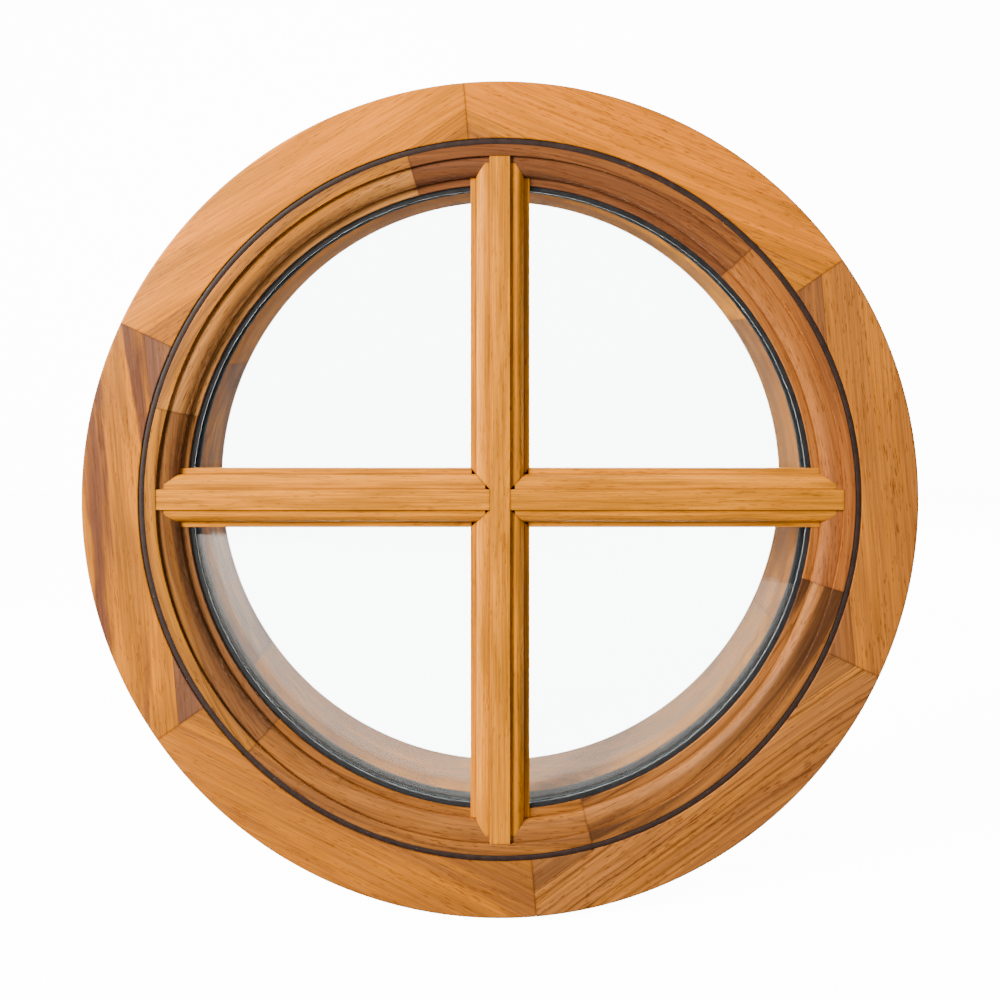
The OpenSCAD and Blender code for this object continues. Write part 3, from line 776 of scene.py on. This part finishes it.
def tape(name, node, inner, wander, seed):
    """Glazing tape: a flat strip round the glass, its inner edge pressed out unevenly."""
    top, foot = low(node)[1] - FRONT, high(node)[1] - FRONT
    line = inner + wander * waves(seed)
    outer = high(node)[0] - 0.1 + 0 * line
    section, _ = outline([(line[:, 0], top, 0.6, 0), (outer[:, 0], top, 0, 0),
                          (outer[:, 0], foot, 0, 0), (line[:, 0], foot, 0.6, 0)])
    return piece(name, [lathe(section)], [node],
                 sealant(f"{name}_black_butyl", "#0E0F11", "#1A1C1F", 0.5))


def spacer():
    """Hollow bar between the panes: a box outline with its wall dished towards the axis
    and a fold line near each pane."""
    front, back = low("spacer_bar")[1] - FRONT, high("spacer_bar")[1] - FRONT
    outer, inner = high("spacer_bar")[0] - 0.1, high("spacer_bar")[0] - SPACER_H
    corners = [(inner, front + 0.4, 0.3, 0), (inner + 0.25, front + 1.6, 0.2, 0),
               (inner + 0.25, back - 1.6, 0.2, 0), (inner, back - 0.4, 0.3, 0),
               (inner + 1.2, back, 0.3, 0), (outer - 1.6, back, 0.3, 0),
               (outer, back - 1.8, 0.3, 0), (outer, front + 1.8, 0.3, 0),
               (outer - 1.6, front, 0.3, 0), (inner + 1.2, front, 0.3, 0)]
    outside, _ = outline(corners)
    middle = np.array([(inner + outer) / 2, (front + back) / 2])
    size = np.array([outer - inner, back - front])
    inside = (outside - middle) * (1 - 2 * SPACER_WALL / size) + middle
    hollow, faces, grime_and_shade = lathe(inside)
    wall = hollow, [f[::-1] for f in faces], grime_and_shade
    return piece("spacer", [lathe(outside), wall], ["spacer_bar"],
                 drawn_metal("grey_anodised_aluminium_spacer", "#22282B", 0.75))


def dressed(nodes, material):
    """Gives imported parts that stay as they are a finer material."""
    for node in nodes:
        for k in range(len(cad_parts[node].data.materials)):
            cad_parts[node].data.materials[k] = material


for i in range(SEGMENTS):
    outer_board(i)
    inner_board(i)
    ring_segment(i)
perimeter_bedding()
rim_screws()
upright_bar()
side_bar("left", "bar_left", 180, 400)
side_bar("right", "bar_right", 0, 900)
tape("front_tape", "front_glazing_tape", SIGHT - FRONT_LIP, 0.3, 11)
tape("rear_tape", "rear_glazing_tape", STOP - REAR_LIP, 0.5, 13)
spacer()
beech = wood("fluted_beech_dowels", "#C9986A", "#B98558", "#8E5E38", turn=0, ring=2.5, sway=2)
dressed(["frame_dowels", "ring_dowels", "bar_end_dowels", "cross_dowel"], beech)
dressed(["front_pane", "rear_pane"], float_glass())
dressed(["bar_bedding", "edge_sealant"], sealant("black_butyl", "#0E0F11", "#1A1C1F", 0.5))
dressed(["desiccant"], grained("fired_clay_drying_beads", "#B8AC9A", "#D8CFC0", 1.2, 0.8))
dressed(["setting_blocks"],
        grained("moulded_polypropylene_blocks", "#26282B", "#303338", 3.0, 0.5))


# ---- Studio ------------------------------------------------------------------------

# The camera faces the window squarely from a little above its middle; the view is
# shifted down to frame it. At the front face it takes in a square VIEW_W wide.
CAMERA = (0.003, -0.747, 0.1146)
VIEW_W = 0.7151


def plain(name, colour, glow=0.0, glow_back=0.0):
    """Matt painted board, lit from inside by a glow that may change with depth."""
    material, shader, put, wire = finish(name)
    place = put("TexCoord").outputs["Object"]
    speck = put("TexNoise", {"Vector": place, "Scale": 3.0, "Detail": 2.0}).outputs[0]
    shade = put("MapRange", {0: speck, 3: 0.97, 4: 1.0}).outputs[0]
    colour = put("VectorMath", {0: tone(colour)[:3], "Scale": shade}, operation="SCALE")
    depth = put("SeparateXYZ", {0: place}).outputs["Y"]
    power = put("MapRange", {0: depth, 1: -0.75, 2: -0.25, 3: glow, 4: glow_back}).outputs[0]
    wire(shader, {"Base Color": colour.outputs[0], "Roughness": 0.9,
                  "Emission Color": tone("#FFFFFF"), "Emission Strength": power})
    return material


def board(name, corners, material):
    """Flat board of the stage through four corners, in metres."""
    mesh = bpy.data.meshes.new(name)
    mesh.from_pydata(corners, [], [(0, 1, 2, 3)])
    mesh.materials.append(material)
    made = bpy.data.objects.new(name, mesh)
    bpy.context.scene.collection.objects.link(made)
    return made


def lamp(name, place, aim, width, height, watts, colour):
    """Soft box: a rectangular area lamp that points at a place."""
    data = bpy.data.lights.new(name, "AREA")
    data.shape = "RECTANGLE"
    data.size, data.size_y = width, height
    data.energy = watts
    data.color = tone(colour)[:3]
    made = bpy.data.objects.new(name, data)
    made.location = place
    direction = np.array(aim, float) - np.array(place, float)
    made.rotation_mode = "QUATERNION"
    made.rotation_quaternion = Vector(direction).to_track_quat("-Z", "Y")
    bpy.context.scene.collection.objects.link(made)
    return made


floor_z = cad_low.z
# The table ends in front of the window, a little askew; the part behind the window and
# the backdrop glow like a light table, and don't tint the window.
near_edge = [(-2.4, -2.05, floor_z), (2.0, -0.42, floor_z)]
seam = [(2.0, -0.145, floor_z), (-2.4, -0.145, floor_z)]
table = board("table_front", near_edge + seam, plain("pale_grey_table", "#DCDCDC", 0.0, 0.3))
glow = plain("white_light_table", "#F4F4F4", 13.0, 13.0)
rear = board("table_rear", seam[::-1] + [(2.0, 1.9, floor_z), (-2.4, 1.9, floor_z)], glow)
wall = board("backdrop", [(-2.4, 1.9, floor_z), (2.4, 1.9, floor_z), (2.4, 1.9, 2.2),
                          (-2.4, 1.9, 2.2)], glow)
for screen in (rear, wall):
    screen.visible_diffuse = False
    screen.visible_glossy = False
table.visible_diffuse = False

lamp("key", (-1.5, -1.35, 0.75), (0, 0, 0), 0.7, 0.9, 190, "#FFF6EA")
lamp("fill", (1.3, -1.6, 0.9), (0, 0, 0), 1.2, 1.2, 16, "#F4F8FF")
lamp("back", (0.9, 1.3, 0.8), (0, 0, 0), 1.2, 1.2, 34, "#FFEADC")

world = bpy.data.worlds.new("studio")
bpy.context.scene.world = world
world.use_nodes = True
world.node_tree.nodes["Background"].inputs["Color"].default_value = tone("#E8EAEC")
world.node_tree.nodes["Background"].inputs["Strength"].default_value = 0.35

view = bpy.data.cameras.new("view")
camera = bpy.data.objects.new("view", view)
camera.location = CAMERA
camera.rotation_euler = (math.radians(90), 0, 0)
view.sensor_width = 36.0
view.lens = view.sensor_width * (cad_low.y - CAMERA[1]) / VIEW_W
view.shift_x = -CAMERA[0] / VIEW_W
view.shift_y = -CAMERA[2] / VIEW_W
view.clip_start, view.clip_end = 0.01, 20.0
bpy.context.scene.collection.objects.link(camera)
bpy.context.scene.camera = camera

bpy.context.view_layer.update()
